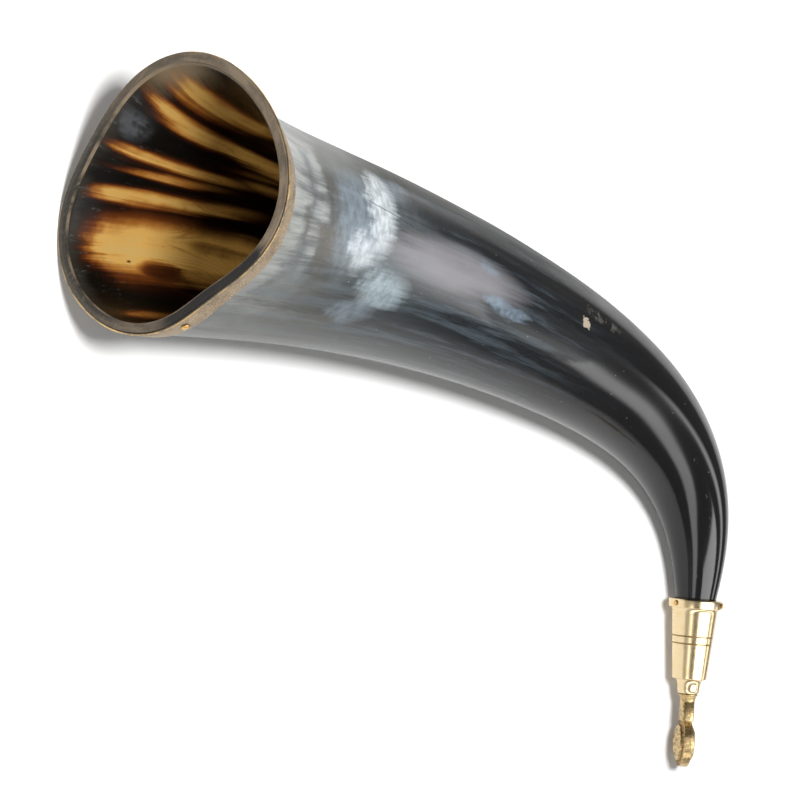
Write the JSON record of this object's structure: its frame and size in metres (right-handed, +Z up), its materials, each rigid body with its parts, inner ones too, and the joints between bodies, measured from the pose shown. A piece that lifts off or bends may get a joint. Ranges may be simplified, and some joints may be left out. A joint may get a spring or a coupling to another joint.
{
  "type": "drinking horn",
  "caption": "Curved, hollow natural horn for drinking, with a nailed brass strip round its mouth and a turned brass ferrule with a cast medallion on its tip.",
  "frame": {"origin": "under the middle of the bounding box, on the surface that the horn lies on", "axes": "+Z up with the horn lying on its side, -X the way the mouth faces, -Y the side that the tip bends to"},
  "size_m": [0.256, 0.1968, 0.0787],
  "materials": {
    "horn": "polished natural horn, marbled grey at the mouth and black at the tip, amber inside",
    "sheet_brass": "dull sheet brass with bright cut edges",
    "nail_brass": "worn round heads",
    "turned_brass": "polished, with fine turning marks",
    "cast_brass": "cast faces with a filed edge"
  },
  "bodies": {
    "root": {"horn_shell": "horn", "rim_band": "sheet_brass", "rim_nail_1": "nail_brass", "rim_nail_2": "nail_brass", "rim_nail_3": "nail_brass", "rim_nail_4": "nail_brass", "ferrule": "turned_brass", "ferrule_nail_1": "nail_brass", "ferrule_nail_2": "nail_brass", "finial": "cast_brass"}
  },
  "joints": []
}
